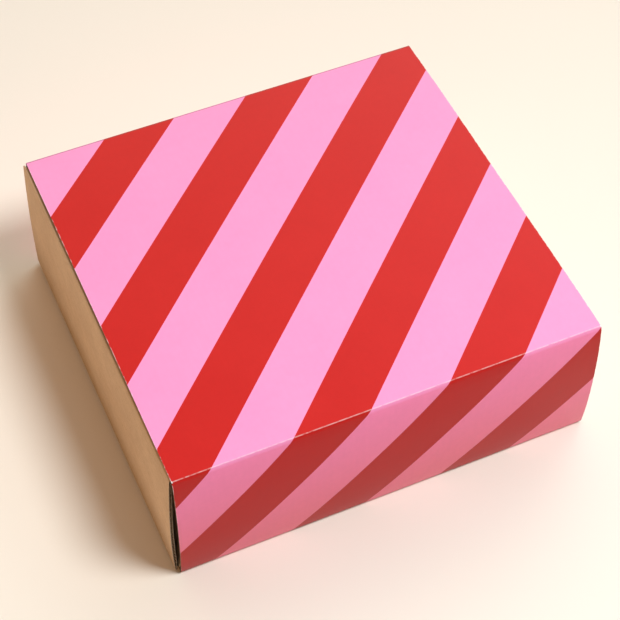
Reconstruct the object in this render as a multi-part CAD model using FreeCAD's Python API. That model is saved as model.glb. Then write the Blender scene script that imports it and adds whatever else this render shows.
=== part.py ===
"""Square gift box: an open kraft tray with rolled ends inside an open-ended board sleeve.

Millimetres, +Z up. The origin is on the table under the middle of the box. X runs along the
sleeve, the way the tray slides, and -Y is the front. Both blanks are E-flute board. A panel ends
at the middle of its crease, so neighbouring panels of one blank meet face to face.
"""
import FreeCAD
import Part
import math
import os

V = FreeCAD.Vector
X_AXIS = V(1, 0, 0)

# Driving dimensions of the sleeve
BOARD = 1.5                # thickness of the board
SLEEVE_LENGTH = 240.0      # along X
SLEEVE_DEPTH = 236.0       # between the two top creases
CREASE_HEIGHT = 88.0       # table to the top creases
TOP_CROWN = 2.5            # rise of the top panel between its creases
SIDE_BULGE = 3.2           # bow of the front and back panels between their creases
BOTTOM_SETBACK = 2.0       # bottom creases in from the top ones
CREASE_RADIUS = 1.6        # outside of a folded crease
GLUE = 0.2                 # thickness of the adhesive in the sleeve's joint
GLUE_FLAP_HEIGHT = 32.0    # glue flap, up the inside of the back panel
GLUE_MARGIN = 4.0          # bare board above and below the adhesive, and at its ends

# Driving dimensions of the tray
TRAY_LENGTH = 243.0        # along X, so each end stands a little proud of the sleeve
TRAY_FRONT_GAP = 0.75      # running room to the sleeve's front panel at the bottom crease
TRAY_BACK_GAP = 0.55       # running room to the glue flap
TRAY_FLOOR_GAP = 0.2       # running room over the sleeve's bottom panel
TRAY_HEIGHT = 83.6         # underside of the tray to the top of its rolled ends
TRAY_EDGE_RADIUS = 1.2     # outside of the tray's creases
CORNER_FLAP_LENGTH = 76.0
CORNER_FLAP_TAPER = 9.0    # the free corners of a corner flap are cut back by this
CORNER_FLAP_ROOM = 0.4     # corner flap to base and to rim
INNER_PANEL_ROOM = 0.5     # inner end panel to front and back walls
TAB_WIDTH = 28.0
TAB_SPACING = 112.0        # between the middles of the two lock tabs of an end
TAB_TAPER = 0.5
SLOT_ROOM = 0.3            # lock slot round its tab

# Worked out from the driving dimensions
TOP_Y = SLEEVE_DEPTH / 2
BOTTOM_Y = TOP_Y - BOTTOM_SETBACK
SIDE_CHORD = math.hypot(CREASE_HEIGHT, BOTTOM_SETBACK)
JOINT_INSET = BOARD + GLUE
TRAY_FRONT = -BOTTOM_Y + BOARD + TRAY_FRONT_GAP
TRAY_BACK = BOTTOM_Y - JOINT_INSET - BOARD - TRAY_BACK_GAP
TRAY_END = TRAY_LENGTH / 2
TRAY_UNDERSIDE = BOARD + TRAY_FLOOR_GAP
TRAY_FLOOR = TRAY_UNDERSIDE + BOARD
TRAY_TOP = TRAY_UNDERSIDE + TRAY_HEIGHT
RIM_UNDERSIDE = TRAY_TOP - BOARD
FAR = 40.0                 # length of a cutting polygon beyond the crease that it starts from
TOLERANCE = 0.01           # two points or lengths closer than this are the same


def arc_radius(chord, bulge):
    """Radius of the arc that rises by bulge over its chord."""
    return chord ** 2 / (8 * bulge) + bulge / 2


def side_centre(side):
    """Centre (y, z) of the arc that a bowed side panel follows; side is -1 front or 1 back."""
    reach = arc_radius(SIDE_CHORD, SIDE_BULGE) - SIDE_BULGE
    across = reach * CREASE_HEIGHT / SIDE_CHORD
    down = reach * BOTTOM_SETBACK / SIDE_CHORD
    return side * ((TOP_Y + BOTTOM_Y) / 2 - across), CREASE_HEIGHT / 2 + down


def section_point(y, z):
    return V(-SLEEVE_LENGTH / 2, y, z)


def along_sleeve(wire):
    """Solid with the wire as its section, as long as the sleeve."""
    return Part.Face(wire).extrude(X_AXIS * SLEEVE_LENGTH)


def polygon(*corners):
    """Prism over a YZ polygon, used to cut a panel off at its creases."""
    points = [section_point(y, z) for y, z in corners]
    return along_sleeve(Part.makePolygon(points + points[:1]))


def roll(radius, y, z):
    """Solid cylinder along the sleeve."""
    return Part.makeCylinder(radius, SLEEVE_LENGTH, section_point(y, z), X_AXIS)


def side_arc(side, inset, z):
    """Point at height z on a side panel's arc, moved into the box by inset."""
    y, centre_z = side_centre(side)
    radius = arc_radius(SIDE_CHORD, SIDE_BULGE) - inset
    return section_point(y + side * math.sqrt(radius ** 2 - (z - centre_z) ** 2), z)


def envelope(back_inset, round_back_bottom):
    """Everything inside the sleeve's outline, with its folded creases rounded.

    back_inset moves the back side in, to give the outline that the glue flap folds to.
    """
    front = [side_arc(-1, 0, z) for z in (0, CREASE_HEIGHT / 2, CREASE_HEIGHT)]
    back = [side_arc(1, back_inset, z) for z in (CREASE_HEIGHT, CREASE_HEIGHT / 2, 0)]
    top_middle = section_point(0, CREASE_HEIGHT + TOP_CROWN)
    edges = [
        Part.Arc(*front).toShape(),
        Part.Arc(front[-1], top_middle, back[0]).toShape(),
        Part.Arc(*back).toShape(),
        Part.makeLine(back[-1], front[0]),
    ]
    solid = along_sleeve(Part.Wire(edges))
    folded = [front[0], front[-1], back[0]]
    if round_back_bottom:
        folded.append(back[-1])
    creases = [edge for edge in solid.Edges if is_crease(edge, folded)]
    return solid.makeFillet(CREASE_RADIUS, creases)


def is_crease(edge, corners):
    """True for an edge along the sleeve that starts at one of the corners."""
    start, end = edge.Vertexes[0].Point, edge.Vertexes[-1].Point
    runs_along = abs(abs(end.x - start.x) - SLEEVE_LENGTH) < TOLERANCE
    near = any(math.hypot(start.y - c.y, start.z - c.z) < TOLERANCE for c in corners)
    return runs_along and near


def sleeve_parts():
    """The five panels of the sleeve's blank and the adhesive in its joint."""
    side_radius = arc_radius(SIDE_CHORD, SIDE_BULGE)
    top_radius = arc_radius(SLEEVE_DEPTH, TOP_CROWN)
    outside = envelope(0, False)
    joint_outside = envelope(JOINT_INSET, True)
    front_core = roll(side_radius - BOARD, *side_centre(-1))
    back_core = roll(side_radius - BOARD, *side_centre(1))
    glue_core = roll(side_radius - JOINT_INSET, *side_centre(1))
    flap_core = roll(side_radius - JOINT_INSET - BOARD, *side_centre(1))
    top_core = roll(top_radius - BOARD, 0, CREASE_HEIGHT + TOP_CROWN - top_radius)

    front_top = (-TOP_Y, CREASE_HEIGHT)
    back_top = (TOP_Y, CREASE_HEIGHT)
    front_bottom = (-BOTTOM_Y, 0)
    back_bottom = (BOTTOM_Y, 0)
    joint_bottom = (BOTTOM_Y - JOINT_INSET, 0)

    def mitre(corner, y_sign, z_sign, length):
        """Point at length from the corner along the 45 degree line across the crease."""
        return corner[0] + y_sign * length, corner[1] + z_sign * length

    top_zone = polygon(mitre(front_top, -1, 1, FAR), mitre(front_top, 1, -1, FAR),
                       mitre(back_top, -1, -1, FAR), mitre(back_top, 1, 1, FAR))
    front_zone = polygon(mitre(front_top, -1, 1, FAR), mitre(front_top, 1, -1, FAR),
                         mitre(front_bottom, 1, 1, FAR), mitre(front_bottom, -1, -1, FAR))
    back_zone = polygon(mitre(back_top, 1, 1, FAR), mitre(back_top, -1, -1, FAR),
                        (BOTTOM_Y - FAR, 0), (BOTTOM_Y + FAR, 0))
    bottom_zone = polygon(front_bottom, mitre(front_bottom, 1, 1, BOARD),
                          mitre(joint_bottom, -1, 1, BOARD), joint_bottom)
    flap_zone = polygon(joint_bottom, mitre(joint_bottom, -1, 1, FAR),
                        (joint_bottom[0] - FAR, GLUE_FLAP_HEIGHT),
                        (back_bottom[0] + FAR, GLUE_FLAP_HEIGHT), (back_bottom[0] + FAR, 0))
    glue_top = GLUE_FLAP_HEIGHT - GLUE_MARGIN
    glue_zone = Part.makeBox(SLEEVE_LENGTH - 2 * GLUE_MARGIN, 2 * FAR, glue_top - GLUE_MARGIN,
                             V(GLUE_MARGIN - SLEEVE_LENGTH / 2, BOTTOM_Y - FAR, GLUE_MARGIN))
    return {
        "sleeve_top": outside.cut(top_core).common(top_zone),
        "sleeve_front": outside.cut(front_core).common(front_zone),
        "sleeve_back": outside.cut(back_core).common(back_zone),
        "sleeve_bottom": joint_outside.common(bottom_zone),
        "sleeve_glue_flap": joint_outside.cut(flap_core).common(flap_zone),
        "sleeve_glue_line": back_core.cut(glue_core).common(glue_zone),
    }


def board(x_low, x_high, y_low, y_high, z_low, z_high):
    """Flat piece of board between two corners, given in any order along X."""
    x_low, x_high = sorted((x_low, x_high))
    return Part.makeBox(x_high - x_low, y_high - y_low, z_high - z_low, V(x_low, y_low, z_low))


def tab_centres():
    middle = (TRAY_FRONT + TRAY_BACK) / 2
    return middle - TAB_SPACING / 2, middle + TAB_SPACING / 2


def tray_base():
    """Floor of the tray, with rounded creases and the four slots for the lock tabs."""
    slab = board(-TRAY_END, TRAY_END, TRAY_FRONT, TRAY_BACK, TRAY_UNDERSIDE, TRAY_FLOOR)
    lower_edges = [e for e in slab.Edges if e.BoundBox.ZMax < TRAY_UNDERSIDE + BOARD / 2]
    slab = slab.makeFillet(TRAY_EDGE_RADIUS, lower_edges)
    for end in (-1, 1):
        near = end * (TRAY_END - 3 * BOARD - SLOT_ROOM)
        far = end * (TRAY_END - 2 * BOARD + SLOT_ROOM)
        for y in tab_centres():
            half = TAB_WIDTH / 2 + SLOT_ROOM
            slab = slab.cut(board(near, far, y - half, y + half, TRAY_UNDERSIDE, TRAY_FLOOR))
    return slab


def long_wall(y_low, y_high):
    """Single wall along X, standing between the two outer end panels."""
    inside = TRAY_END - BOARD
    return board(-inside, inside, y_low, y_high, TRAY_FLOOR, RIM_UNDERSIDE)


def corner_flap(end, wall_face, into_tray):
    """Flap folded round from a long wall and trapped in an end, with tapered free corners."""
    x = end * (TRAY_END - BOARD)
    low = TRAY_FLOOR + CORNER_FLAP_ROOM
    high = RIM_UNDERSIDE - CORNER_FLAP_ROOM
    tip = wall_face + into_tray * CORNER_FLAP_LENGTH
    shoulder = tip - into_tray * CORNER_FLAP_TAPER
    outline = [V(x, wall_face, low), V(x, shoulder, low), V(x, tip, low + CORNER_FLAP_TAPER),
               V(x, tip, high - CORNER_FLAP_TAPER), V(x, shoulder, high), V(x, wall_face, high)]
    return Part.Face(Part.makePolygon(outline + outline[:1])).extrude(V(-end * BOARD, 0, 0))


def rolled_rim(end):
    """Narrow top of an end between its two creases."""
    rim = board(end * TRAY_END, end * (TRAY_END - 3 * BOARD), TRAY_FRONT, TRAY_BACK,
                RIM_UNDERSIDE, TRAY_TOP)
    rolled = [e for e in rim.Edges
              if e.BoundBox.ZMin > TRAY_TOP - BOARD / 2 and e.BoundBox.YLength > BOARD * 4]
    return rim.makeFillet(TRAY_EDGE_RADIUS, rolled)


def inner_end_panel(end):
    """Panel rolled down inside an end, with two tapered tabs locked in the floor."""
    outer, inner = end * (TRAY_END - 2 * BOARD), end * (TRAY_END - 3 * BOARD)
    low = TRAY_FRONT + BOARD + INNER_PANEL_ROOM
    high = TRAY_BACK - BOARD - INNER_PANEL_ROOM
    panel = board(outer, inner, low, high, TRAY_FLOOR, RIM_UNDERSIDE)
    for y in tab_centres():
        shoulder, tip = TAB_WIDTH / 2, TAB_WIDTH / 2 - TAB_TAPER
        corners = [V(outer, y - shoulder, TRAY_FLOOR), V(outer, y - tip, TRAY_UNDERSIDE),
                   V(outer, y + tip, TRAY_UNDERSIDE), V(outer, y + shoulder, TRAY_FLOOR)]
        tab = Part.Face(Part.makePolygon(corners + corners[:1])).extrude(V(inner - outer, 0, 0))
        panel = panel.fuse(tab)
    return panel.removeSplitter()


def tray_parts():
    """The thirteen panels of the tray's blank."""
    front_inside, back_inside = TRAY_FRONT + BOARD, TRAY_BACK - BOARD
    parts = {
        "tray_base": tray_base(),
        "tray_front_wall": long_wall(TRAY_FRONT, front_inside),
        "tray_back_wall": long_wall(back_inside, TRAY_BACK),
    }
    for name, end in (("left", -1), ("right", 1)):
        parts[name + "_end_outer"] = board(end * TRAY_END, end * (TRAY_END - BOARD),
                                           TRAY_FRONT, TRAY_BACK, TRAY_FLOOR, RIM_UNDERSIDE)
        parts[name + "_end_rim"] = rolled_rim(end)
        parts[name + "_end_inner"] = inner_end_panel(end)
        parts[name + "_front_flap"] = corner_flap(end, front_inside, 1)
        parts[name + "_back_flap"] = corner_flap(end, back_inside, -1)
    return parts


def single_solid(name, shape):
    """The one solid in shape; stops the script if the piece came out broken."""
    if len(shape.Solids) != 1 or not shape.isValid():
        raise ValueError("%s has %d solids, valid %s" % (name, len(shape.Solids), shape.isValid()))
    return shape.Solids[0]


os.makedirs("parts", exist_ok=True)
for node, node_shape in {**sleeve_parts(), **tray_parts()}.items():
    solid = single_solid(node, node_shape)
    solid.exportStep("parts/" + node + ".step")
    print("%-18s volume %9.1f mm3  box %s" % (node, solid.Volume, solid.BoundBox))
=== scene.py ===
"""Looks of the sleeved gift box: fluted board sheets, striped print, raw kraft, floor, light, camera.

Metres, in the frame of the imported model: +Z up, X along the sleeve, -Y the striped front. Every
sheet is real corrugated board: an outer liner, a wavy medium and an inner liner, each a closed
shell. "Across" runs across the flutes and "along" runs along them.
"""
import math

import bpy
import numpy as np
from mathutils import Matrix, Vector


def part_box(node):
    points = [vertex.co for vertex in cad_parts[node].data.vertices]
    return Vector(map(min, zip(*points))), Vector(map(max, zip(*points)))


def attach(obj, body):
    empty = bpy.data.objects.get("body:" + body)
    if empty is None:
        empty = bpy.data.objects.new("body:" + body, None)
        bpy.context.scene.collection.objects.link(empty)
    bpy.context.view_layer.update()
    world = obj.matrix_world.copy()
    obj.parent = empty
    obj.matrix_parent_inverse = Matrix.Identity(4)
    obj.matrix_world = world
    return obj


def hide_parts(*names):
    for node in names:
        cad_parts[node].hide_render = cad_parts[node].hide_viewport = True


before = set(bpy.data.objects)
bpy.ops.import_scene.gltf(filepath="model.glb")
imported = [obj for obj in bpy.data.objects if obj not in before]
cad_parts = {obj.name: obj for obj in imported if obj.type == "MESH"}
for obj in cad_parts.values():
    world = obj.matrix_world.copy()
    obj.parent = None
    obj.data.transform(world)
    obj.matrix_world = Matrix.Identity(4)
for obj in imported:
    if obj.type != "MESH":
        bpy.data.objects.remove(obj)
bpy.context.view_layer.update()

MM = 0.001

# Board
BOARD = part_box("sleeve_bottom")[1].z       # the bottom panel lies on the table
LINER = 0.26 * MM
MEDIUM = 0.20 * MM
FLUTE_PITCH = 3.66 * MM
STEPS_PER_FLUTE = 6
CRUSHED = 0.52                             # share of the thickness left at a folded crease
EDGE_CRUSHED = 0.62                        # share left at a cut edge that runs along the flutes
CRUSH_REACH = 1.3 * MM
SHARP_EDGE = math.radians(38)              # shading isn't smoothed over a sharper edge than this
PLACE_NAMES = ("across", "along", "fold")  # what the materials read at each point, in metres

# Sleeve outline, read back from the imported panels
SIDE_BULGE = 3.2 * MM
HALF_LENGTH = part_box("sleeve_top")[1].x
CREASE_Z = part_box("sleeve_top")[0].z + BOARD
BOTTOM_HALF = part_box("sleeve_back")[0].y + BOARD
SIDE_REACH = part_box("sleeve_back")[1].y
TOP_HALF = 2 * (SIDE_REACH - SIDE_BULGE) - BOTTOM_HALF
GLUE_ROOM = 0.2 * MM                       # the glue flap stands this much further in than in the CAD
JOINT_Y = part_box("sleeve_glue_flap")[0].y + BOARD - GLUE_ROOM
FLAP_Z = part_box("sleeve_glue_flap")[1].z
CROWN_LEFT = 0.9 * MM                      # the top panel is flatter over the end that shows the tray
CROWN_RIGHT = 2.2 * MM
SHOULDER = 0.9 * MM                        # a top crease's side panel stands this far outside its ridge
SHOULDER_DROP = 2.4 * MM                   # and its curve starts this far below the ridge
SHOULDER_CORNER = (0.7, 0.55)              # the curve's corner: out from the ridge and down, in shoulders
LOW_TRIM = 3.0 * MM                        # a bottom crease's curve starts this far from its corner

# Printed stripes, measured along the sleeve
RED_BAND = 42.8 * MM
PINK_BAND = 44.6 * MM
FIRST_RED = 47.1 * MM                      # from the left end, at the back crease
STRIPE_SLOPE = 1.03                        # shift along the sleeve for each metre round it

# Tray outline
TRAY_LOW, TRAY_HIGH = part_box("tray_base")
TRAY_END = TRAY_HIGH.x
TRAY_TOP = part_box("left_end_rim")[1].z
RIM_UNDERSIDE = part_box("left_end_rim")[0].z
END_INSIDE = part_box("right_end_inner")[0].x
FLAP_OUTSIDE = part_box("right_front_flap")[1].x
TRAY_FOLD_TRIM = 1.4 * MM
SLOT_ROOM = 0.3 * MM


# ---------------------------------------------------------------- outlines

def bowed_panel(start, end, outward, bulge, trims, steps, power=2.0):
    """Points from start to end, bulging outward in the middle and cut short by a trim at each end."""
    start, end, outward = (np.array(p, float) for p in (start, end, outward))
    length = np.linalg.norm(end - start)
    t = np.linspace(trims[0] / length, 1 - trims[1] / length, steps)[:, None]
    return start + (end - start) * t + outward * bulge * (1 - np.abs(2 * t - 1) ** power)


def folded(before, corner, after, steps):
    """Points of the curve that rounds a corner, between the straight runs' nearest points."""
    t = np.linspace(0, 1, steps + 2)[1:-1, None]
    corner = np.array(corner, float)
    return (1 - t) ** 2 * before + 2 * t * (1 - t) * corner + t ** 2 * after


def run_length(points):
    """Distance along a polyline to each of its points."""
    return np.concatenate([[0], np.cumsum(np.linalg.norm(np.diff(points, axis=0), axis=1))])


def up_a_panel(height, bottom, top, middle=0.0):
    """Metres at a height from 0 to 1, from millimetres at the bottom, at the top and added halfway."""
    return (bottom + (top - bottom) * height + 4 * middle * height * (1 - height)) * MM


# ---------------------------------------------------------------- sheets of board

class Mesh:
    """Collects shells of vertices and faces, with the coordinates that the materials read."""

    def __init__(self):
        self.points = []
        self.values = []
        self.faces = []
        self.slots = []
        self.count = 0

    def add_shell(self, outer, inner, values, slots, keep):
        """Closed slab between two grids of points, made of the cells marked in keep.

        slots are the material slots of its outer faces, its inner faces and its edges.
        """
        size = outer[..., 0].size
        index = np.arange(size).reshape(outer.shape[:2]) + self.count
        corners = (index[:-1, :-1], index[1:, :-1], index[1:, 1:], index[:-1, 1:])
        quads = np.stack(corners, -1)[keep]
        padded = np.pad(keep, 1)
        edges = []
        for start, end, neighbour in ((0, 1, padded[1:-1, :-2]), (1, 2, padded[2:, 1:-1]),
                                      (2, 3, padded[1:-1, 2:]), (3, 0, padded[:-2, 1:-1])):
            open_side = keep & ~neighbour
            edges.append(np.stack([corners[end][open_side], corners[start][open_side]], -1))
        edges = np.concatenate(edges)
        walls = np.column_stack([edges, edges[:, ::-1] + size])
        turned = np.cross(outer[1, 0] - outer[0, 0], outer[0, 1] - outer[0, 0]) @ (outer - inner)[0, 0]
        for faces, slot in zip((quads, quads[:, ::-1] + size, walls), slots):
            self.faces.append(faces if turned > 0 else faces[:, ::-1])
            self.slots.append(np.full(len(faces), slot))
        self.points += [outer.reshape(-1, 3), inner.reshape(-1, 3)]
        self.values += [values.reshape(-1, 3)] * 2
        self.count += 2 * size

    def piece(self, name, materials, body, slot, nodes):
        """Makes the Blender object, which stands for the named CAD nodes."""
        used, faces = np.unique(np.concatenate(self.faces), return_inverse=True)
        faces = faces.reshape(-1, 4)
        points = np.concatenate(self.points)[used]
        mesh = bpy.data.meshes.new(name)
        mesh.from_pydata(points.tolist(), [], faces.tolist())
        mesh.polygons.foreach_set("material_index", np.concatenate(self.slots).astype(np.int32))
        mesh.polygons.foreach_set("use_smooth", np.ones(len(faces), bool))
        values = np.concatenate(self.values)[used]
        for column, title in enumerate(PLACE_NAMES):
            attribute = mesh.attributes.new(title, "FLOAT", "POINT")
            attribute.data.foreach_set("value", values[:, column].astype(np.float32))
        for material in materials:
            mesh.materials.append(material)
        mesh.set_sharp_from_angle(angle=SHARP_EDGE)
        piece = bpy.data.objects.new(name, mesh)
        bpy.context.scene.collection.objects.link(piece)
        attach(piece, body)
        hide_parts(*nodes)


FACE, BACK, FLUTES, EDGE = range(4)        # material slots of a board piece


def add_board(mesh, surface, across, along, folds=(), keep=None, settle=None):
    """One sheet of board.

    surface(across, along) gives the grid of points on the outer face and their normals. folds are
    the places of the creases, as (axis, coordinate), with axis 0 for across and 1 for along.
    keep(across, along) tells which places are board, and settle(points) bends the finished sheet.
    """
    flutes = max(1, round((across[-1] - across[0]) / FLUTE_PITCH))
    fine = np.linspace(across[0], across[-1], flutes * STEPS_PER_FLUTE + 1)
    for coordinates, layers in ((across, "liners"), (np.union1d(fine, across), "medium")):
        points, normals = surface(coordinates, along)
        grid = np.stack(np.meshgrid(coordinates, along, indexing="ij"), -1)
        fold = np.ones(grid.shape[:2])
        for axis, place in folds:
            fold = np.minimum(fold, np.abs(grid[..., axis] - place))
        values = np.concatenate([grid, fold[..., None]], -1)
        crushed = (1 - (1 - CRUSHED) * np.exp(-(fold / CRUSH_REACH) ** 2))[..., None]
        edge = np.minimum(coordinates - across[0], across[-1] - coordinates)
        crushed = crushed * (1 - (1 - EDGE_CRUSHED) * np.exp(-(edge / CRUSH_REACH) ** 2))[:, None, None]
        centres = (grid[1:, 1:] + grid[:-1, :-1]) / 2
        if keep is None:
            kept = np.ones(centres.shape[:2], bool)
        else:
            kept = keep(centres[..., 0], centres[..., 1])

        def layer(near, far, slots):
            slab = [points - normals * crushed * depth for depth in (near, far)]
            if settle:
                slab = [settle(side) for side in slab]
            mesh.add_shell(*slab, values, slots, kept)

        if layers == "liners":
            layer(0, LINER, (FACE, EDGE, EDGE))
            layer(BOARD - LINER, BOARD, (EDGE, BACK, EDGE))
        else:
            swing = BOARD / 2 - LINER - MEDIUM / 2
            phase = 2 * math.pi * (coordinates - across[0]) / FLUTE_PITCH
            middle = (BOARD / 2 + swing * np.cos(phase))[:, None, None]
            layer(middle - MEDIUM / 2, middle + MEDIUM / 2, (FLUTES, FLUTES, FLUTES))


def grid_normals(points, flip):
    """Unit normals of a grid of points, from the directions of its two sets of lines."""
    down_columns = np.gradient(points, axis=0)
    down_rows = np.gradient(points, axis=1)
    normals = np.cross(down_columns, down_rows) * flip
    return normals / np.linalg.norm(normals, axis=-1, keepdims=True)


# ---------------------------------------------------------------- sleeve

BACK_ROWS = 12                             # points of the section on each panel
TOP_ROWS = 28
FRONT_ROWS = 14
BOTTOM_ROWS = 6
TOP_CREASE_ROWS = 4                        # and on each crease at the top and at the bottom
LOW_CREASE_ROWS = 5
TOP_FLATNESS = 2.6                         # power of a bulge's curve: 2 is a parabola, more is flatter
FRONT_FLATNESS = 2.4
SLEEVE_COLUMNS = 25
NEAR_ENDS = (0.8 * MM, 1.6 * MM, 2.8 * MM)     # more columns stand this far from the cut ends
GLUE_ROWS = 9

# How far the folded sleeve is out of true, in millimetres at a panel's bottom and at its top. What is
# turned or tilted moves that far at its right end and as far the other way at its left end.
FRONT_TURNED = (1.15, 0.70)                # along Y
FRONT_LEANING = (-0.9, 0.0)                # along Y, over its whole length
BACK_LEANING = (3.8, -0.5)                 # along Y, over its whole length
RIGHT_STRETCHED = (0.0, 1.2)               # along X, the front's right end
LEFT_STRETCHED = (-0.7, 0.0)               # along X, the front's left end
FRONT_TILTED = (0.0, 0.4)                  # along Z


def sleeve_section(crown):
    """Outside of the sleeve in (y, z), from the back panel's free edge round to the glue flap's.

    Returns the points and the rows of the four creases.
    """
    outer_top = TOP_HALF + SHOULDER
    bulge = SIDE_REACH - (outer_top + BOTTOM_HALF) / 2
    inset = BOTTOM_HALF - JOINT_Y
    shoulder_y = TOP_HALF + SHOULDER_CORNER[0] * SHOULDER
    shoulder_z = CREASE_Z - SHOULDER_CORNER[1] * SHOULDER
    back = bowed_panel((BOTTOM_HALF, 0), (outer_top, CREASE_Z), (1, 0), bulge,
                       (0, SHOULDER_DROP), BACK_ROWS)
    top = bowed_panel((TOP_HALF, CREASE_Z), (-TOP_HALF, CREASE_Z), (0, 1), crown,
                      (0, 0), TOP_ROWS, TOP_FLATNESS)
    front = bowed_panel((-outer_top, CREASE_Z), (-BOTTOM_HALF, 0), (-1, 0), bulge,
                        (SHOULDER_DROP, LOW_TRIM), FRONT_ROWS, FRONT_FLATNESS)
    bottom = bowed_panel((-BOTTOM_HALF, 0), (JOINT_Y, 0), (0, -1), 0,
                         (LOW_TRIM, LOW_TRIM), BOTTOM_ROWS)
    flap = back[back[:, 1] <= FLAP_Z][1:] - (inset, 0)
    runs = [back,
            folded(back[-1], (shoulder_y, shoulder_z), top[0], TOP_CREASE_ROWS), top,
            folded(top[-1], (-shoulder_y, shoulder_z), front[0], TOP_CREASE_ROWS), front,
            folded(front[-1], (-BOTTOM_HALF, 0), bottom[0], LOW_CREASE_ROWS), bottom,
            folded(bottom[-1], (JOINT_Y, 0), flap[0], LOW_CREASE_ROWS), flap]
    starts = np.cumsum([0] + [len(run) for run in runs])
    halfway = LOW_CREASE_ROWS // 2
    creases = [starts[2], starts[3] - 1, starts[5] + halfway, starts[7] + halfway]
    return np.concatenate(runs), creases


def leaning(points):
    """The folded sleeve isn't square: its front runs askew and its back leans out at the bottom."""
    x, y, z = (points[..., k] for k in range(3))
    height = np.clip(z / CREASE_Z, 0, 1)
    front = np.clip(-y / TOP_HALF, 0, 1)
    back = np.clip(y / TOP_HALF, 0, 1)
    along = x / HALF_LENGTH
    moved = points.copy()
    moved[..., 1] += up_a_panel(height, *FRONT_TURNED) * along * front
    moved[..., 1] += up_a_panel(height, *FRONT_LEANING) * front
    moved[..., 1] += up_a_panel(height, *BACK_LEANING) * back
    moved[..., 0] += up_a_panel(height, *RIGHT_STRETCHED) * front * np.clip(along, 0, 1) ** 2
    moved[..., 0] += up_a_panel(height, *LEFT_STRETCHED) * front * np.clip(-along, 0, 1) ** 2
    moved[..., 2] += up_a_panel(height, *FRONT_TILTED) * front * along
    return moved


def sleeve_surface(across, along):
    """Points and normals of the sleeve's outside; the crown grows from left to right."""
    share = (across / HALF_LENGTH + 1) / 2
    columns = []
    for x, s in zip(across, share):
        section = sleeve_section(CROWN_LEFT + (CROWN_RIGHT - CROWN_LEFT) * s)[0]
        columns.append(np.column_stack([np.full(len(section), x), section]))
    points = np.stack(columns)
    return points, grid_normals(points, -1)


def add_sleeve():
    """Printed sleeve with its four creases and the glue flap, folded from one sheet."""
    section, creases = sleeve_section(CROWN_LEFT)
    along = run_length(section)
    along -= along[creases[0]]
    mesh = Mesh()
    across = np.linspace(-HALF_LENGTH, HALF_LENGTH, SLEEVE_COLUMNS)
    near_ends = [side * (HALF_LENGTH - step) for side in (-1, 1) for step in NEAR_ENDS]
    add_board(mesh, sleeve_surface, np.union1d(across, near_ends), along,
              [(1, along[row]) for row in creases], settle=leaning)
    materials = [printed(), kraft("kraft_lining", LINING_SHADE), fluting(), raw_edge()]
    panels = ["sleeve_top", "sleeve_front", "sleeve_back", "sleeve_bottom", "sleeve_glue_flap"]
    mesh.piece("sleeve_board", materials, "sleeve", "printed_board", panels)


def add_glue():
    """Thin layer of adhesive between the back panel's inside and the glue flap."""
    low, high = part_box("sleeve_glue_line")
    back = sleeve_section(CROWN_LEFT)[0][:BACK_ROWS]
    lengths = np.linspace(low.x, high.x, SLEEVE_COLUMNS)
    heights = np.linspace(low.z, high.z, GLUE_ROWS)
    x, z = np.meshgrid(lengths, heights, indexing="ij")
    outside = np.interp(z, back[:, 1], back[:, 0])
    sides = [leaning(np.stack([x, outside - depth, z], -1)) for depth in (BOARD, BOTTOM_HALF - JOINT_Y)]
    everywhere = np.ones((SLEEVE_COLUMNS - 1, GLUE_ROWS - 1), bool)
    mesh = Mesh()
    mesh.add_shell(*sides, np.zeros_like(sides[0]), (0, 0, 0), everywhere)
    mesh.piece("glue_layer", [adhesive()], "sleeve", "adhesive", ["sleeve_glue_line"])


# ---------------------------------------------------------------- tray

TAB_WIDTH = 28.0 * MM
TAB_OFFSET = 56.0 * MM                     # of a tab's middle from the middle of the end
FLAP_TAPER = 9.0 * MM                      # taken off a corner flap's free edge, above and below
FOLD_SHORTCUT = 0.4 * MM                   # allowed for the corner that a rounded fold cuts
CORNER_SHARE = 0.46                        # most that a corner's curve takes of the run on either side
FLOOR_COLUMNS = 20                         # evenly spaced from one FLOOR_COLUMNS_END to the other
FLOOR_COLUMNS_END = 117.0 * MM
END_COLUMNS = 26
FLAP_ROWS = 9

# How far the tray stands out of true in its sleeve: millimetres at the bottom, at the top and added
# halfway up
FRONT_WALL_BOWED = (0.1, 1.9, 3.3)         # outward
BACK_WALL_BOWED = (3.6, 3.2, 2.4)          # outward
LEFT_END_SPLAYED = (4.0, 2.8, -0.9)        # outward at the back edge of the left end's outer panel
WALL_TURNED = (1.1, 0.7)                   # front wall, turned with the sleeve's front
WALL_LEANING = (-0.5, 0.0)                 # front wall, along Y, over its whole length
SPRUNG_AT_FRONT = (1.3, -0.9, 2.35)        # left end's outer panel, outward at its front edge
SPRUNG_AT_BACK = (1.9, 0.2, 0.55)          # and at its back edge
RIGHT_END_BOWED = 0.8 * MM
RIM_LIFTED = (1.1 * MM, 0.7 * MM)          # left rim: everywhere, and added in the middle of its length
RIM_POWER = 8                              # the higher, the less of the end below the rim is lifted
BENDS_START_X = 95.0 * MM                  # bends grow from these distances to the tray's outside
BENDS_START_Y = 60.0 * MM
INNER_PULLED_IN = 2.6 * MM                 # left end's inner panel, halfway up beside the front corner
INNER_PULL_REACH = 45.0 * MM
FLOOR_HOLD_REACH = 7.0 * MM                # near the floor the inner panel follows the outer one
INNER_SHARE = 0.15                         # share of the outer panel's spring that it has higher up


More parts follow.
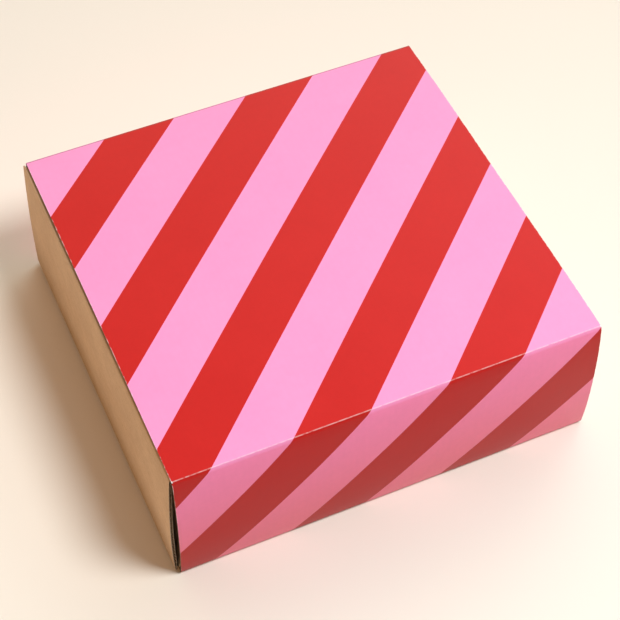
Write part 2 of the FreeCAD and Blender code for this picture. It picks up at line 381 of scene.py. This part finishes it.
class Profile:
    """Outline of a folded sheet: straight runs between rounded corners."""

    def __init__(self, corners, trim, outward, runs, steps=5):
        """Rounds each corner from trim before it to trim after it.

        runs and steps are the numbers of points on a straight run and on a corner's curve. outward
        is 1 if the outside is on the left of the outline, and -1 if it is on the right.
        """
        corners = [np.array(c, float) for c in corners]
        points = []
        self.fold_rows = []
        starts = [corners[0]]
        for i in range(1, len(corners) - 1):
            before = (corners[i - 1] - corners[i]) / np.linalg.norm(corners[i - 1] - corners[i])
            after = (corners[i + 1] - corners[i]) / np.linalg.norm(corners[i + 1] - corners[i])
            shortest = min(np.linalg.norm(corners[i + k] - corners[i]) for k in (-1, 1))
            room = min(trim, CORNER_SHARE * shortest)
            curve_start, curve_end = corners[i] + before * room, corners[i] + after * room
            points.append(np.linspace(starts[-1], curve_start, runs))
            self.fold_rows.append(sum(map(len, points)) + steps // 2)
            points.append(folded(curve_start, corners[i], curve_end, steps))
            starts.append(curve_end)
        points.append(np.linspace(starts[-1], corners[-1], runs))
        self.points = np.concatenate(points)
        steps_taken = np.gradient(self.points, axis=0)
        normals = np.stack([-steps_taken[:, 1], steps_taken[:, 0]], -1) * outward
        self.normals = normals / np.linalg.norm(normals, axis=1, keepdims=True)
        self.places = run_length(self.points)
        self.folds = [self.places[row] for row in self.fold_rows]

    def at(self, places):
        """Points and normals at the given distances along the outline."""
        found = []
        for table in (self.points, self.normals):
            found.append(np.stack([np.interp(places, self.places, table[:, k]) for k in (0, 1)], -1))
        return found


def on_axes(flat, other, axes):
    """Grid of 3-D points from 2-D ones and a third coordinate; axes names where each number goes.

    flat has the shape (n, 2) and runs along the grid's axis axes[0]; other runs along the other one.
    """
    run, first, second, third = axes
    shape = (len(flat), len(other)) if run == 0 else (len(other), len(flat))
    grid = np.zeros(shape + (3,))
    spread = (slice(None), None) if run == 0 else (None, slice(None))
    grid[..., first] = flat[:, 0][spread]
    grid[..., second] = flat[:, 1][spread]
    grid[..., third] = other[spread[::-1]]
    return grid


def sprung_out(y, z):
    """How far the left end's outer panel stands out of its plane, in metres."""
    height = z / TRAY_TOP
    back = np.clip((y - TRAY_LOW.y) / (TRAY_HIGH.y - TRAY_LOW.y), 0, 1)
    share = (1 - back) ** 2
    at_front = up_a_panel(height, *SPRUNG_AT_FRONT)
    at_back = up_a_panel(height, *SPRUNG_AT_BACK)
    return share * at_front + (1 - share) * at_back


def settled(points, end_roll=False):
    """The tray as it stands in its sleeve, with its long walls and its left end bowed outward."""
    x, y, z = (points[..., k] for k in range(3))
    height = np.clip(z / CREASE_Z, 0, 1)
    front = np.clip((-y - BENDS_START_Y) / (-TRAY_LOW.y - BENDS_START_Y), 0, 1)
    back = np.clip((y - BENDS_START_Y) / (TRAY_HIGH.y - BENDS_START_Y), 0, 1)
    reach = np.clip((np.abs(x) - BENDS_START_X) / (TRAY_END - BENDS_START_X), 0, 1) ** 2

    outer = sprung_out(y, np.clip(z, 0, TRAY_TOP))
    by_floor = np.exp(-(np.clip(z - TRAY_LOW.z, 0, 1) / FLOOR_HOLD_REACH) ** 2)
    by_corner = np.exp(-((y - TRAY_LOW.y) / INNER_PULL_REACH) ** 2)
    pulled_in = INNER_PULLED_IN * 4 * height * (1 - height) * by_corner
    followed = outer * (INNER_SHARE + (1 - INNER_SHARE) * by_floor)
    inner = np.minimum(outer, followed) - pulled_in
    skin = np.clip((-x - FLAP_OUTSIDE + BOARD) / BOARD, 0, 1) if end_roll else 0
    left = inner + (outer - inner) * skin
    right = RIGHT_END_BOWED * np.sin(math.pi * height)

    beyond_sleeve = np.clip((-x - HALF_LENGTH) / MM, 0, 1) if end_roll else 0
    arch = 1 - (y / TRAY_HIGH.y) ** 2
    lifted = RIM_LIFTED[0] + RIM_LIFTED[1] * arch
    moved = points.copy()
    moved[..., 0] += np.where(x < 0, -left, right) * reach
    moved[..., 1] -= up_a_panel(height, *FRONT_WALL_BOWED) * front
    moved[..., 1] += up_a_panel(height, *BACK_WALL_BOWED) * back
    moved[..., 1] += up_a_panel(height, *LEFT_END_SPLAYED) * beyond_sleeve * back ** 3
    moved[..., 1] += up_a_panel(height, *WALL_TURNED) * (x / HALF_LENGTH) * front
    moved[..., 1] += up_a_panel(height, *WALL_LEANING) * front
    moved[..., 2] += lifted * height ** RIM_POWER * reach * (x < 0)
    return moved


def tray_materials():
    """Materials of every tray piece, in the order of the board's slots."""
    outside = kraft("kraft_outside", OUTSIDE_SHADE)
    inside = kraft("kraft_inside", INSIDE_SHADE)
    return [outside, inside, fluting(), raw_edge()]


def add_tray_body(materials):
    """Floor with its two rows of slots, and the front and back walls, folded from one sheet."""
    low, high = TRAY_LOW, TRAY_HIGH
    corners = [(high.y, RIM_UNDERSIDE), (high.y, low.z), (low.y, low.z), (low.y, RIM_UNDERSIDE)]
    profile = Profile(corners, TRAY_FOLD_TRIM, 1, runs=12)
    floor_end = TRAY_END - TRAY_FOLD_TRIM
    wall_end = FLAP_OUTSIDE - TRAY_FOLD_TRIM
    slot_out = END_INSIDE + BOARD + SLOT_ROOM
    slot_in = END_INSIDE - SLOT_ROOM
    middle_y = (low.y + high.y) / 2
    slots_y = [middle_y + side * TAB_OFFSET + half * (TAB_WIDTH / 2 + SLOT_ROOM)
               for side in (-1, 1) for half in (-1, 1)]
    floor_span = profile.folds
    slot_places = [floor_span[0] + (high.y - y) - FOLD_SHORTCUT for y in slots_y]
    across = [-floor_end, -slot_out, -slot_in, slot_in, slot_out, floor_end, -wall_end, wall_end]
    across = np.union1d(across, np.linspace(-FLOOR_COLUMNS_END, FLOOR_COLUMNS_END, FLOOR_COLUMNS))
    along = np.union1d(profile.places, slot_places)

    def surface(x, places):
        points, normals = profile.at(places)
        return on_axes(points, x, (1, 1, 2, 0)), on_axes(normals, np.zeros(len(x)), (1, 1, 2, 0))

    def keep(x, place):
        y = profile.at(place.ravel())[0][:, 0].reshape(place.shape)
        on_floor = (place > floor_span[0] + TRAY_FOLD_TRIM) & (place < floor_span[1] - TRAY_FOLD_TRIM)
        in_slot = (np.abs(x) > slot_in) & (np.abs(x) < slot_out)
        in_slot &= np.abs(np.abs(y - middle_y) - TAB_OFFSET) < TAB_WIDTH / 2 + SLOT_ROOM
        return np.where(on_floor, ~in_slot, np.abs(x) < wall_end)

    mesh = Mesh()
    add_board(mesh, surface, across, along, [(1, place) for place in floor_span], keep, settled)
    mesh.piece("tray_floor_and_walls", materials, "tray", "kraft_board",
               ["tray_base", "tray_front_wall", "tray_back_wall"])


def add_corner_flap(name, materials):
    """Flap folded in from the end of a wall, with its free edge tapered above and below."""
    low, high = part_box(name)
    side = 1 if low.x > 0 else -1
    front = -1 if low.y < 0 else 1
    outside = side * FLAP_OUTSIDE
    wall_y = TRAY_LOW.y if front < 0 else TRAY_HIGH.y
    free_y = high.y if front < 0 else low.y
    corners = [(side * (FLAP_OUTSIDE - TRAY_FOLD_TRIM), wall_y), (outside, wall_y), (outside, free_y)]
    profile = Profile(corners, TRAY_FOLD_TRIM, side * front, runs=8)
    length = profile.places[-1]
    middle = (low.z + high.z) / 2
    along = np.linspace(low.z, high.z, FLAP_ROWS)

    def surface(places, z):
        points, normals = profile.at(places)
        grid = on_axes(points, z, (0, 0, 1, 2))
        taper = 1 - (places / length) * FLAP_TAPER / (high.z - low.z) * 2
        grid[..., 2] = middle + (grid[..., 2] - middle) * taper[:, None]
        return grid, on_axes(normals, np.zeros(len(z)), (0, 0, 1, 2))

    mesh = Mesh()
    add_board(mesh, surface, profile.places, along, [(0, profile.folds[0])], settle=settled)
    mesh.piece(name + "_board", materials, "tray", "kraft_board", [name])


def add_end(side, materials):
    """Outer panel, rolled rim and inner panel of an end, with the tabs that lock it to the floor."""
    name = "left_end" if side < 0 else "right_end"
    low, high = TRAY_LOW, TRAY_HIGH
    inner_low, inner_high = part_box(name + "_inner")
    inside = side * END_INSIDE
    outside = side * TRAY_END
    corners = [(side * (TRAY_END - TRAY_FOLD_TRIM), low.z), (outside, low.z), (outside, TRAY_TOP),
               (inside, TRAY_TOP), (inside, low.z)]
    profile = Profile(corners, TRAY_FOLD_TRIM, -side, runs=10)
    rim_end = profile.folds[2]
    tab_start = profile.places[-1] - BOARD
    middle_y = (low.y + high.y) / 2
    tab_edges = [middle_y + a * TAB_OFFSET + b * TAB_WIDTH / 2 for a in (-1, 1) for b in (-1, 1)]
    across = np.union1d(profile.places, [tab_start])
    along = np.linspace(low.y, high.y, END_COLUMNS)
    along = np.union1d(along, [inner_low.y, inner_high.y] + tab_edges)

    def surface(places, y):
        points, normals = profile.at(places)
        return on_axes(points, y, (0, 0, 2, 1)), on_axes(normals, np.zeros(len(y)), (0, 0, 2, 1))

    def keep(place, y):
        inner = (y > inner_low.y) & (y < inner_high.y)
        tab = np.abs(np.abs(y - middle_y) - TAB_OFFSET) < TAB_WIDTH / 2
        return np.where(place < rim_end, True, np.where(place < tab_start, inner, tab))

    def settle(points):
        return settled(points, end_roll=True)

    mesh = Mesh()
    add_board(mesh, surface, across, along, [(0, place) for place in profile.folds], keep, settle)
    mesh.piece(name + "_roll", materials, "tray", "kraft_board",
               [name + "_outer", name + "_rim", name + "_inner"])


def add_tray():
    materials = tray_materials()
    add_tray_body(materials)
    for name in ("left_front_flap", "left_back_flap", "right_front_flap", "right_back_flap"):
        add_corner_flap(name, materials)
    for side in (-1, 1):
        add_end(side, materials)


# ---------------------------------------------------------------- materials

# Colours are linear red, green and blue. A pair is the two ends of a mottled or graded colour.
TOP_PINK = ((0.91, 0.285, 0.53), (0.96, 0.325, 0.57))
TOP_RED = ((0.54, 0.009, 0.007), (0.60, 0.013, 0.010))
SHADED_SIDE_PINK = ((0.93, 0.235, 0.440), (0.90, 0.195, 0.285))   # painted shade of the top's pink, at the front's top and at its bottom; the grade is a painted cool highlight under the crease and painted warm floor light low down
# painted shade of the top's red, on the sides
SHADED_SIDE_RED = (0.49, 0.006, 0.005)
BARE_PAPER = (0.95, 0.92, 0.90)
# painted shade along the top's back crease
BACK_FOLD_SHADE = (0.25, 0.10, 0.08)
KRAFT = ((0.515, 0.354, 0.228), (0.575, 0.408, 0.269))
KRAFT_SPOTS = (0.40, 0.25, 0.145)
KRAFT_PALE_SPOTS = (0.72, 0.54, 0.375)
KRAFT_PALE_FIBRES = (0.74, 0.56, 0.395)
KRAFT_DARK_FIBRES = (0.37, 0.225, 0.125)
KRAFT_SPECKS = (0.20, 0.12, 0.06)
OUTSIDE_SHADE = 1.15                       # of the kraft colours, on the tray's outside
INSIDE_SHADE = 1.0
LINING_SHADE = 0.95                        # inside the sleeve
LOW_KRAFT = 50 * MM                        # painted shade: kraft darkens from this height down to the table, where the floor beside it lies in shadow
LOW_KRAFT_SHADE = 0.76
# the medium and the cut liner are darkened partly as painted shade for the gaps where they show
FLUTING = ((0.20, 0.125, 0.07), (0.36, 0.24, 0.145))
CUT_LINER = ((0.30, 0.19, 0.12), (0.54, 0.42, 0.31))
ADHESIVE = ((0.74, 0.70, 0.58), (0.84, 0.82, 0.72))
FLOOR = ((0.90, 0.795, 0.685), (0.92, 0.82, 0.715))

STRIPE_BLUR = 0.09 * MM                    # width of the soft edge between two inks
PINK_CORNER = 5.0 * MM                     # no red band starts this near to the back left corner
CRACK_AND_GLINT_SHARE = 0.34                         # how white the creases' cracks are, which are both cracked ink and a painted highlight of the folds' glint
NICK_SIZE = 2.2 * MM                       # bare paper at both ends of the creases
FRAY = 0.35 * MM                           # bare paper along the sleeve's cut ends
FRAY_SHARE = 0.6                           # how white it is
BACK_FOLD_HALF_WIDTH = 1.1 * MM
BACK_FOLD_SHADE_SHARE = 0.55                     # how strong the painted shade line on the top's back crease is
SIDE_SHADE_REACH = 3.0 * MM                  # the top's ink changes into the sides' painted shade over this distance
PRINT_IOR = 1.5
PRINT_GLOSS = 0.22                         # specular level: 0.5 is the full reflection of that IOR
PRINT_RIBS = (0.006, 0.997)                # painted shade of the medium's faint ribs: its contrast, and the shade between them
# the same painted rib shade, on kraft
KRAFT_RIBS = (0.02, 0.985)
PRINT_RIB_HEIGHT = 0.008 * MM
PRINT_WAVINESS = 0.12 * MM
PRINT_GRAIN = 0.01 * MM
KRAFT_RIB_HEIGHT = 0.02 * MM
KRAFT_FIBRE_HEIGHT = 0.03 * MM


class Nodes:
    """Short way to build a material's node tree."""

    def __init__(self, name):
        self.material = bpy.data.materials.new(name)
        self.material.use_nodes = True
        self.tree = self.material.node_tree
        self.shader = self.tree.nodes["Principled BSDF"]

    def add(self, kind, inputs=None, **settings):
        node = self.tree.nodes.new(kind)
        for key, value in settings.items():
            setattr(node, key, value)
        for key, value in (inputs or {}).items():
            self.put(node.inputs[key], value)
        return node

    def put(self, socket, value):
        """Links or sets an input; a colour of three numbers gets its alpha here."""
        if isinstance(value, bpy.types.NodeSocket):
            self.tree.links.new(value, socket)
        elif socket.type == "RGBA":
            socket.default_value = (*value[:3], 1.0)
        else:
            socket.default_value = value

    def math(self, operation, a, b=0.0, c=0.0):
        return self.add("ShaderNodeMath", {0: a, 1: b, 2: c}, operation=operation).outputs[0]

    def times(self, a, b):
        return self.math("MULTIPLY", a, b)

    def larger(self, a, b):
        return self.math("MAXIMUM", a, b)

    def line(self, value, slope, start):
        """value * slope + start."""
        return self.math("MULTIPLY_ADD", value, slope, start)

    def step(self, value, low, high):
        """0 below low, 1 above high, smooth between; low may be the larger one."""
        node = self.add("ShaderNodeMapRange", {"Value": value, "From Min": low, "From Max": high},
                        interpolation_type="SMOOTHSTEP")
        return node.outputs["Result"]

    def mix(self, share, a, b, blend="MIX"):
        node = self.add("ShaderNodeMix", data_type="RGBA", blend_type=blend)
        for key, value in (("Factor_Float", share), ("A_Color", a), ("B_Color", b)):
            socket = next(s for s in node.inputs if s.identifier == key)
            self.put(socket, value)
        return next(s for s in node.outputs if s.identifier == "Result_Color")

    def shaded(self, colour, grey):
        """A colour multiplied by one number."""
        greys = self.add("ShaderNodeCombineColor", {0: grey, 1: grey, 2: grey}).outputs[0]
        return self.mix(1.0, colour, greys, "MULTIPLY")

    def attribute(self, name):
        return self.add("ShaderNodeAttribute", attribute_name=name).outputs["Fac"]

    def object_point(self):
        return self.add("ShaderNodeTexCoord").outputs["Object"]

    def noise(self, vector, scale, detail=3.0, roughness=0.55):
        node = self.add("ShaderNodeTexNoise", {"Vector": vector, "Scale": scale, "Detail": detail,
                                               "Roughness": roughness})
        return node.outputs["Fac"]

    def stretched(self, vector, scale):
        return self.add("ShaderNodeMapping", {"Vector": vector, "Scale": scale}).outputs[0]

    def bump(self, height, distance, strength=1.0, after=None):
        inputs = {"Height": height, "Distance": distance, "Strength": strength}
        if after is not None:
            inputs["Normal"] = after
        return self.add("ShaderNodeBump", inputs).outputs["Normal"]

    def flute_wave(self):
        """Height from 0 to 1 of the faint ribs that the medium leaves in a liner."""
        turns = self.times(self.attribute("across"), 2 * math.pi / FLUTE_PITCH)
        return self.line(self.math("COSINE", turns), 0.5, 0.5)

    def finish(self, **inputs):
        for key, value in inputs.items():
            self.put(self.shader.inputs[key.replace("_", " ")], value)
        return self.material


def red_bands(n, across, along):
    """1 on the red bands and 0 on the pink ones, with no red left at the back left corner."""
    period = RED_BAND + PINK_BAND
    place = n.math("ADD", across, n.line(along, STRIPE_SLOPE, HALF_LENGTH - FIRST_RED))
    place = n.times(n.math("FRACT", n.math("DIVIDE", place, period)), period)
    rising = n.step(place, 0.0, STRIPE_BLUR)
    falling = n.step(place, RED_BAND + STRIPE_BLUR, RED_BAND)
    from_corner = n.math("ADD", n.line(along, STRIPE_SLOPE, HALF_LENGTH), across)
    off_corner = n.step(from_corner, PINK_CORNER - 1 * MM, PINK_CORNER)
    off_corner = n.larger(off_corner, n.step(along, 0.0, -0.2 * MM))
    return n.times(n.times(rising, falling), off_corner)


def wear_and_glint(n, point, across, along, fold):
    """1 where the ink is gone: on the frayed cut ends, and on every crease but the top's back one. The
    white line along those creases is both cracked ink and a painted highlight.
    """
    ragged = n.noise(point, 420, 4, 0.7)
    past_top = n.step(along, TOP_HALF, TOP_HALF + 20 * MM)
    # Painted highlight and real cracked ink: a white line along the creases.
    crack_and_glint = n.times(n.step(fold, 0.50 * MM, 0.15 * MM), n.step(ragged, 0.25, 0.60))
    crack_and_glint = n.times(crack_and_glint, n.times(past_top, CRACK_AND_GLINT_SHARE))
    end = n.math("SUBTRACT", HALF_LENGTH, n.math("ABSOLUTE", across))
    corner = n.math("SQRT", n.math("ADD", n.times(end, end), n.times(fold, fold)))
    corner = n.math("ADD", corner, n.times(ragged, 3.0 * MM))
    nick = n.times(n.step(corner, NICK_SIZE, NICK_SIZE - 0.5 * MM), past_top)
    frayed = n.times(n.step(end, FRAY, 0.05 * MM), n.step(ragged, 0.46, 0.6))
    return n.larger(n.larger(crack_and_glint, nick), n.times(frayed, FRAY_SHARE))


def printed():
    """Satin print of red and pink bands on white-faced board; its sides carry painted shade as darker
    inks, graded down the front as painted highlight and floor light.
    """
    n = Nodes("striped_print")
    point = n.object_point()
    across, along, fold = map(n.attribute, PLACE_NAMES)
    mottle = n.noise(point, 26, 4)
    fine = n.noise(point, 900, 2)
    red = red_bands(n, across, along)
    bare_and_glint = wear_and_glint(n, point, across, along, fold)

    front_edge = 2 * TOP_HALF
    top_ink = n.mix(red, n.mix(mottle, *TOP_PINK), n.mix(mottle, *TOP_RED))
    # Painted shade: the sides get darker inks than the top, and the front's pink is graded from a painted
    # highlight to painted floor light.
    down = n.step(along, front_edge, front_edge + CREASE_Z)
    shaded_side_ink = n.mix(red, n.mix(down, *SHADED_SIDE_PINK), SHADED_SIDE_RED)
    past_front = n.step(along, front_edge, front_edge + SIDE_SHADE_REACH)
    on_side = n.larger(past_front, n.step(along, 0.0, -SIDE_SHADE_REACH))
    colour = n.mix(bare_and_glint, n.mix(on_side, top_ink, shaded_side_ink), BARE_PAPER)
    # Painted shade: a dark line along the top's back crease, which catches less light.
    back_fold_shade = n.step(n.math("ABSOLUTE", along), BACK_FOLD_HALF_WIDTH, 0.3 * MM)
    colour = n.mix(n.times(back_fold_shade, BACK_FOLD_SHADE_SHARE), colour, BACK_FOLD_SHADE)
    uneven = n.math("SUBTRACT", n.noise(point, 240, 4, 0.7), 0.5)
    # Random unevenness, and painted shade of the faint ribs.
    grey = n.line(uneven, 0.10, n.line(n.flute_wave(), *PRINT_RIBS))
    colour = n.shaded(colour, grey)

    rough = n.line(bare_and_glint, 0.4, n.line(mottle, 0.10, 0.25))
    normal = n.bump(n.flute_wave(), PRINT_RIB_HEIGHT, 0.5)
    normal = n.bump(n.noise(point, 60, 3), PRINT_WAVINESS, 0.35, normal)
    normal = n.bump(fine, PRINT_GRAIN, 0.3, normal)
    return n.finish(Base_Color=colour, Roughness=rough, Normal=normal, IOR=PRINT_IOR,
                    Specular_IOR_Level=PRINT_GLOSS)


def kraft(name, shade):
    """Uncoated kraft liner: brown fibres, light and dark specks, faint ribs, and painted shade towards
    the table.
    """
    n = Nodes(name)
    point = n.object_point()
    cloud = n.noise(point, 30, 5, 0.65)
    blotches = n.noise(n.stretched(point, (1.0, 1.0, 2.5)), 190, 4, 0.7)
    fibres = n.noise(n.stretched(point, (1.0, 4.0, 4.0)), 650, 4, 0.75)
    cross_fibres = n.noise(n.stretched(point, (4.0, 1.0, 1.0)), 520, 4, 0.75)
    specks = n.noise(point, 1300, 1)

    def brown(colour):
        return tuple(part * shade for part in colour)

    colour = n.mix(n.step(cloud, 0.32, 0.68), *map(brown, KRAFT))
    layers = (                             # noise, from where to where, strength, colour
        (blotches, 0.48, 0.74, 0.28, KRAFT_SPOTS),
        (blotches, 0.50, 0.28, 0.24, KRAFT_PALE_SPOTS),
        (fibres, 0.52, 0.72, 0.42, KRAFT_PALE_FIBRES),
        (cross_fibres, 0.54, 0.74, 0.36, KRAFT_DARK_FIBRES),
        (specks, 0.69, 0.76, 0.6, KRAFT_SPECKS))
    for noise, start, full, strength, tone in layers:
        colour = n.mix(n.times(n.step(noise, start, full), strength), colour, brown(tone))
    # Painted shade: the kraft darkens towards the table, where less light reaches it.
    height = n.add("ShaderNodeSeparateXYZ", {0: point}).outputs["Z"]
    low = n.line(n.step(height, 0.0, LOW_KRAFT), 1 - LOW_KRAFT_SHADE, LOW_KRAFT_SHADE)
    # Painted shade of the faint ribs, times the painted shade towards the table.
    colour = n.shaded(colour, n.times(n.line(n.flute_wave(), *KRAFT_RIBS), low))
    normal = n.bump(n.flute_wave(), KRAFT_RIB_HEIGHT, 0.5)
    normal = n.bump(fibres, KRAFT_FIBRE_HEIGHT, 0.6, normal)
    return n.finish(Base_Color=colour, Roughness=n.line(fibres, 0.12, 0.76), Normal=normal)


def mottled(name, colours, scale, detail, grain, roughness):
    """Plain rough material, clouded between two colours; roughness is (least, added by the cloud)."""
    n = Nodes(name)
    cloud = n.noise(n.object_point(), scale, detail, grain)
    least, added = roughness
    return n.finish(Base_Color=n.mix(cloud, *colours), Roughness=n.line(cloud, added, least))


def fluting():
    """Recycled medium between the liners, greyer than they are and darker, partly as painted shade for
    the narrow gaps where it shows.
    """
    return mottled("fluting_medium", FLUTING, 500, 4, 0.7, (0.84, 0.1))


def raw_edge():
    """Cut edge and hidden face of a liner, darker than the liner's brown partly as painted shade for the
    narrow gaps where it shows.
    """
    return mottled("cut_liner_edge", CUT_LINER, 900, 3, 0.7, (0.82, 0.1))


def adhesive():
    """Dried adhesive, pale and slightly glossy."""
    return mottled("dried_adhesive", ADHESIVE, 300, 3, 0.55, (0.35, 0.2))


def floor_paper():
    """Pale paper floor with painted shade, a little darker towards +X near the box."""
    n = Nodes("studio_floor")
    point = n.object_point()
    cloud = n.noise(point, 2.0, 3)
    x = n.add("ShaderNodeSeparateXYZ", {0: point}).outputs["X"]
    near = n.math("MINIMUM", n.larger(x, -SHADING_REACH), SHADING_REACH)
    # Painted shade: the floor darkens along X, for the uneven light across it.
    colour = n.shaded(n.mix(cloud, *FLOOR), n.line(near, FLOOR_SHADING, 1.0))
    return n.finish(Base_Color=colour, Roughness=n.line(cloud, 0.1, 0.7))


# ---------------------------------------------------------------- stage, light, camera

CAMERA_AZIMUTH = math.radians(-22.26)
CAMERA_ELEVATION = math.radians(51.0)
CAMERA_ROLL = math.radians(-1.12)
CAMERA_DISTANCE = 1.0897
CAMERA_TARGET = Vector((0.0126, 0.0200, 0.0))
CAMERA_LENS = 106.95                       # millimetres, on a sensor of this width
SENSOR_WIDTH = 36.0

FLOOR_RADIUS = 9.0
FLOOR_CORNERS = 96
FLOOR_SHADING = -0.14                      # painted shade: change of the floor's brightness for each metre along X
SHADING_REACH = 1.0                        # metres from the box where that change stops
KEY_DIRECTION = (0.295, -0.370, 0.875)
KEY_DISTANCE = 1.6
KEY_SIZE = 0.56
KEY_POWER = 27.0
KEY_COLOUR = (0.75, 0.79, 0.82)
ROOM_LIGHT = (                             # towards, sharpness, colour
    ((-1, 0, 0), 2, (0.71, 0.33, 0.02)),
    ((0, 1, 0), 2, (1.82, 1.28, 0.92)),
    ((0, 0, 1), 2, (0.0, 0.09, 0.14)),
    ((0.75, 0.6, 0.73), 14, (2.40, 2.95, 3.05)))


def direction(azimuth, elevation):
    """Unit vector from the box towards a place at that angle; azimuth 0 is in front."""
    flat = math.cos(elevation)
    return Vector((math.sin(azimuth) * flat, -math.cos(azimuth) * flat, math.sin(elevation)))


def add_camera():
    """Camera high in front of the box and to its left, rolled a little about its own axis."""
    data = bpy.data.cameras.new("camera")
    data.lens = CAMERA_LENS
    data.sensor_width = SENSOR_WIDTH
    camera = bpy.data.objects.new("camera", data)
    bpy.context.scene.collection.objects.link(camera)
    back = direction(CAMERA_AZIMUTH, CAMERA_ELEVATION)
    right = Vector((0, 0, 1)).cross(back).normalized()
    up = back.cross(right)
    turned_right = right * math.cos(CAMERA_ROLL) + up * math.sin(CAMERA_ROLL)
    turned_up = up * math.cos(CAMERA_ROLL) - right * math.sin(CAMERA_ROLL)
    axes = Matrix((turned_right, turned_up, back)).transposed().to_4x4()
    camera.matrix_world = Matrix.Translation(CAMERA_TARGET + back * CAMERA_DISTANCE) @ axes
    bpy.context.scene.camera = camera


def add_light(name, towards, distance, size, power, colour):
    """Round soft light that stands in a direction from the box and faces it."""
    data = bpy.data.lights.new(name, "AREA")
    data.shape = "DISK"
    data.size = size
    data.energy = power
    data.color = colour
    light = bpy.data.objects.new(name, data)
    bpy.context.scene.collection.objects.link(light)
    towards = Vector(towards).normalized()
    light.location = towards * distance
    light.rotation_euler = towards.to_track_quat("Z", "Y").to_euler()


def add_surroundings():
    """Light of the room: soft lobes, each with a direction, a sharpness and a colour."""
    world = bpy.data.worlds.new("studio")
    world.use_nodes = True
    tree = world.node_tree
    place = tree.nodes.new("ShaderNodeTexCoord").outputs["Generated"]

    def vector_math(operation, first, second):
        node = tree.nodes.new("ShaderNodeVectorMath")
        node.operation = operation
        tree.links.new(first, node.inputs[0])
        if isinstance(second, bpy.types.NodeSocket):
            tree.links.new(second, node.inputs["Scale"] if operation == "SCALE" else node.inputs[1])
        else:
            node.inputs[1].default_value = second
        return node.outputs["Value"] if operation == "DOT_PRODUCT" else node.outputs["Vector"]

    def scalar_math(operation, first, second, clamped):
        node = tree.nodes.new("ShaderNodeMath")
        node.operation = operation
        node.use_clamp = clamped
        node.inputs[1].default_value = second
        tree.links.new(first, node.inputs[0])
        return node.outputs[0]

    total = None
    for towards, sharpness, colour in ROOM_LIGHT:
        facing = vector_math("DOT_PRODUCT", place, Vector(towards).normalized())
        share = scalar_math("POWER", scalar_math("MULTIPLY", facing, 1.0, True), sharpness, False)
        shade = tree.nodes.new("ShaderNodeCombineXYZ")
        for socket, value in zip(shade.inputs, colour):
            socket.default_value = value
        lobe = vector_math("SCALE", shade.outputs[0], share)
        total = lobe if total is None else vector_math("ADD", total, lobe)
    tree.links.new(total, tree.nodes["Background"].inputs["Color"])
    bpy.context.scene.world = world


def add_stage():
    """Round pale floor, the room round it and one large soft light from the front right."""
    angles = [2 * math.pi * i / FLOOR_CORNERS for i in range(FLOOR_CORNERS)]
    rim = [(FLOOR_RADIUS * math.cos(a), FLOOR_RADIUS * math.sin(a), 0) for a in angles]
    mesh = bpy.data.meshes.new("floor")
    mesh.from_pydata(rim, [], [list(range(FLOOR_CORNERS))])
    mesh.materials.append(floor_paper())
    floor = bpy.data.objects.new("floor", mesh)
    bpy.context.scene.collection.objects.link(floor)
    add_surroundings()
    add_light("key", KEY_DIRECTION, KEY_DISTANCE, KEY_SIZE, KEY_POWER, KEY_COLOUR)
    bpy.context.scene.view_settings.view_transform = "Standard"


add_sleeve()
add_glue()
add_tray()
add_stage()
add_camera()
